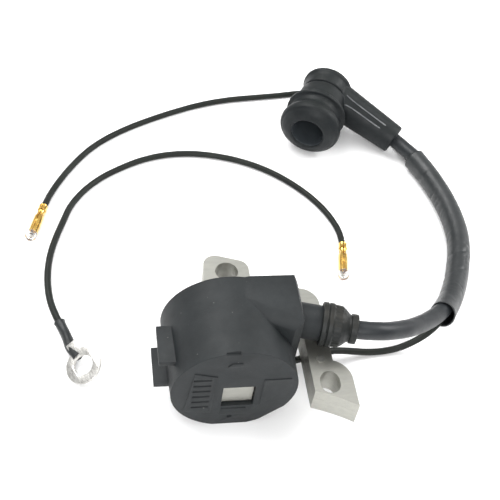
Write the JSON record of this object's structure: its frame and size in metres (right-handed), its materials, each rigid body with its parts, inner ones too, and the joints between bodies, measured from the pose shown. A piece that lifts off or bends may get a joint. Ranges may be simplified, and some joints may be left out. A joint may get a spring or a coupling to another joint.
{
  "type": "ignition coil",
  "caption": "Flywheel ignition coil: laminated U core, drum housing, right-angle plug boot on its lead, sleeved stop wire and a loose jumper lead with ring and push-on ends.",
  "frame": {"origin": "middle of the pole face that looks at the flywheel, at the core's mid-plane", "axes": "+X to the right of the pole face, -Y out of the pole face towards the flywheel, +Z along the mounting bolts' axes"},
  "size_m": [0.1745, 0.1816, 0.0413],
  "materials": {
    "lamination_steel": "bare electrical steel, fine grain along the cut edges",
    "rivet_steel": "plain steel, peened heads",
    "housing_plastic": "glass-filled nylon, fine mould texture",
    "potting_resin": "black epoxy, smooth with a slight meniscus",
    "bobbin_plastic": "natural nylon",
    "enamelled_copper": "enamelled copper wire",
    "amber_tape": "amber film tape",
    "secondary_plastic": "dark green moulded plastic",
    "fine_copper": "very fine enamelled copper",
    "board_laminate": "green solder mask",
    "chip_epoxy": "black moulded epoxy",
    "capacitor_film": "dipped film capacitor",
    "resistor_body": "tan lacquer",
    "terminal_brass": "bright stamped brass",
    "rubber_dark": "black rubber, faint bloom",
    "lead_jacket": "silicone jacket, satin",
    "sleeve_vinyl": "soft vinyl, wrinkled inside the bend",
    "wire_insulation": "grey-green vinyl",
    "tinned_copper": "dull tin plate, faint brushing",
    "shrink_tubing": "heat-shrunk polyolefin",
    "clear_vinyl": "clear soft vinyl",
    "spring_steel": "plated spring wire"
  },
  "bodies": {
    "coil": {"core_stack": "lamination_steel", "core_rivets": "rivet_steel", "housing": "housing_plastic", "potting": "potting_resin", "primary_bobbin": "bobbin_plastic", "primary_winding": "enamelled_copper", "winding_tape": "amber_tape", "secondary_bobbin": "secondary_plastic", "secondary_winding": "fine_copper", "circuit_board": "board_laminate", "control_chip": "chip_epoxy", "power_transistor": "chip_epoxy", "board_capacitor": "capacitor_film", "board_resistors": "resistor_body", "trigger_coil": "enamelled_copper", "earth_strap": "terminal_brass", "ht_link": "enamelled_copper", "outlet_stud": "terminal_brass", "gland": "rubber_dark", "stop_grommet": "rubber_dark", "ht_lead": "lead_jacket", "sleeve": "sleeve_vinyl", "stop_wire": "wire_insulation", "stop_terminal": "terminal_brass", "stop_terminal_cover": "clear_vinyl", "jumper_wire": "wire_insulation", "ring_terminal": "tinned_copper", "ring_tubing": "shrink_tubing", "jumper_terminal": "terminal_brass", "jumper_terminal_cover": "clear_vinyl"},
    "boot": {"plug_boot": "rubber_dark", "contact_spring": "spring_steel", "spring_cup": "terminal_brass"}
  },
  "joints": [
    {"name": "boot_swivel", "type": "hinge", "parent": "coil", "child": "boot", "pos_m": [0.0592, 0.1533, -0.0009], "axis": [-0.7646, 0.5974, 0.2419], "range_deg": [0, 90]}
  ]
}
